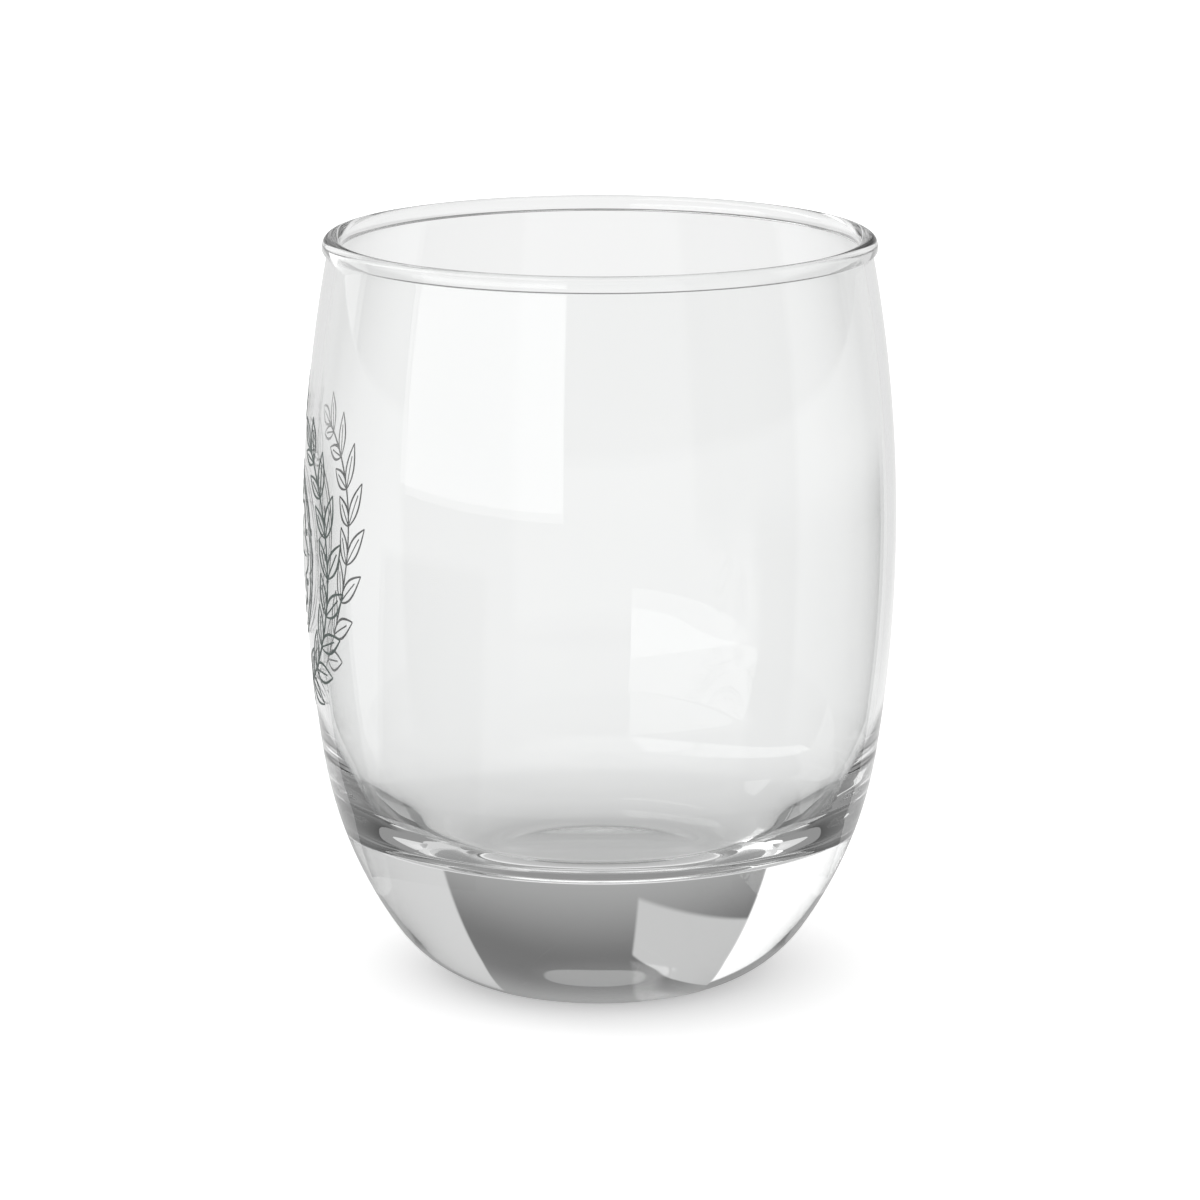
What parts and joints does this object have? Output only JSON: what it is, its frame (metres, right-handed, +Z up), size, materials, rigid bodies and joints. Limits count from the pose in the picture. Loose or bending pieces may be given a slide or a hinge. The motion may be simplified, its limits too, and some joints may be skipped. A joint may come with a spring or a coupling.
{
  "type": "whisky glass",
  "caption": "Barrel-shaped clear glass tumbler with a rounded beaded rim, a heavy rounded base and a thin-line wreath printed on one side, for drinking spirits.",
  "frame": {"origin": "centre of the foot, on the plane the glass stands on", "axes": "+Z up along the glass's axis of turning; the printed side faces -Y; the picture looks from the +X side"},
  "size_m": [0.067, 0.0672, 0.0847],
  "materials": {
    "clear_glass": "smooth, clear, fire-polished",
    "print_ink": "fired thin-line print, dark grey-green, satin"
  },
  "bodies": {
    "root": {"glass_body": "clear_glass", "ink_ring": "print_ink", "ink_ring_fine": "print_ink", "ink_rosette": "print_ink", "ink_rosette_veins": "print_ink", "ink_rosette_eye": "print_ink", "ink_dot_1": "print_ink", "ink_dot_2": "print_ink", "ink_dot_3": "print_ink", "ink_dot_4": "print_ink", "ink_dot_5": "print_ink", "ink_dot_6": "print_ink", "ink_dot_7": "print_ink", "ink_dot_8": "print_ink", "ink_branch_right": "print_ink", "ink_branch_left": "print_ink", "ink_sprig_top": "print_ink", "ink_sprig_bottom": "print_ink"}
  },
  "joints": []
}
